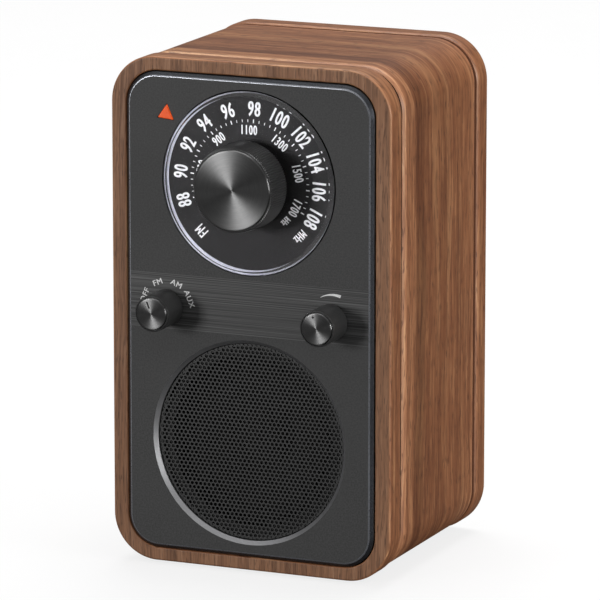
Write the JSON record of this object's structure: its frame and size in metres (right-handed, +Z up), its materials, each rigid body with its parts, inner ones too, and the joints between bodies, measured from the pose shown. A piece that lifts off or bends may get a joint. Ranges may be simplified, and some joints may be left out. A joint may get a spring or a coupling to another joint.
{
  "type": "tabletop radio",
  "caption": "Upright wooden tabletop radio with a large round tuning dial and knob, a function selector, a volume knob and a round loudspeaker grille.",
  "frame": {"origin": "bottom centre of the whole radio's box, on the surface that its feet stand on", "axes": "+Z up along the cabinet's height, -Y out of the front panel, +X to the listener's right"},
  "size_m": [0.0966, 0.0968, 0.166],
  "materials": {
    "walnut_veneer": "satin open-grain walnut veneer",
    "panel_grey": "dark grey satin with a brushed band",
    "black_plastic": "matte black moulded plastic",
    "knob_metal": "dark spun metal",
    "knob_black": "finely ribbed black",
    "acrylic": "clear polished acrylic",
    "scale_print": "dark printed scale with white numerals",
    "grille_black": "black perforated sheet",
    "orange_lens": "translucent orange",
    "led_epoxy": "tinted epoxy",
    "zinc_steel": "zinc-plated steel",
    "brass": "turned brass",
    "ferrite": "dark sintered ferrite",
    "cone_paper": "black pressed paper",
    "rubber": "soft black rubber",
    "copper_winding": "enamelled copper winding",
    "circuit_board": "green solder mask",
    "treated_cloth": "resin-treated cloth",
    "wire_insulation": "black insulated wire"
  },
  "bodies": {
    "cabinet": {"aux_socket": "black_plastic", "baffle": "black_plastic", "board_screw_1": "zinc_steel", "board_screw_2": "zinc_steel", "cabinet_sleeve": "walnut_veneer", "dc_socket": "black_plastic", "ferrite_rod": "ferrite", "fm_aerial_wire": "wire_insulation", "foot_1": "rubber", "foot_2": "rubber", "foot_3": "rubber", "foot_4": "rubber", "frame_screw_1": "zinc_steel", "frame_screw_2": "zinc_steel", "frame_screw_3": "zinc_steel", "frame_screw_4": "zinc_steel", "front_frame": "walnut_veneer", "front_panel": "panel_grey", "function_switch": "zinc_steel", "jack_board": "circuit_board", "main_board": "circuit_board", "pointer_led": "led_epoxy", "pointer_lens": "orange_lens", "rear_cover": "black_plastic", "rear_cover_screw_1": "zinc_steel", "rear_cover_screw_2": "zinc_steel", "rear_cover_screw_3": "zinc_steel", "rear_cover_screw_4": "zinc_steel", "rear_frame": "walnut_veneer", "rod_bracket": "black_plastic", "rod_coil": "copper_winding", "socket_cable": "wire_insulation", "speaker_basket": "zinc_steel", "speaker_cable": "wire_insulation", "speaker_front_plate": "zinc_steel", "speaker_grille": "grille_black", "speaker_magnet": "ferrite", "speaker_screw_1": "zinc_steel", "speaker_screw_2": "zinc_steel", "speaker_screw_3": "zinc_steel", "speaker_screw_4": "zinc_steel", "speaker_spider": "treated_cloth", "speaker_surround": "rubber", "speaker_yoke": "zinc_steel", "tuning_potentiometer": "zinc_steel", "volume_potentiometer": "zinc_steel"},
    "tuning_dial": {"dial_disc": "acrylic", "dial_scale": "scale_print", "tuning_knob": "knob_black", "tuning_knob_cap": "knob_metal", "tuning_shaft": "brass"},
    "function_selector": {"function_knob": "knob_black", "function_knob_cap": "knob_metal", "function_shaft": "brass"},
    "volume_control": {"volume_knob": "knob_black", "volume_knob_cap": "knob_metal", "volume_shaft": "brass"},
    "speaker_diaphragm": {"speaker_cone": "cone_paper", "voice_coil": "copper_winding", "speaker_dust_cap": "cone_paper"}
  },
  "joints": [
    {"name": "tuning", "type": "hinge", "parent": "cabinet", "child": "tuning_dial", "pos_m": [0, -0.0454, 0.1276], "axis": [0, -1, 0], "range_deg": [-56, 172]},
    {"name": "function_select", "type": "hinge", "parent": "cabinet", "child": "function_selector", "pos_m": [-0.0285, -0.0454, 0.0854], "axis": [0, -1, 0], "range_deg": [-90, 45]},
    {"name": "volume", "type": "hinge", "parent": "cabinet", "child": "volume_control", "pos_m": [0.0285, -0.0454, 0.0854], "axis": [0, -1, 0], "range_deg": [-165, 135]},
    {"name": "cone_travel", "type": "slide", "parent": "cabinet", "child": "speaker_diaphragm", "axis": [0, -1, 0], "range_m": [-0.001, 0.001], "stiffness_N_per_m": 800}
  ]
}
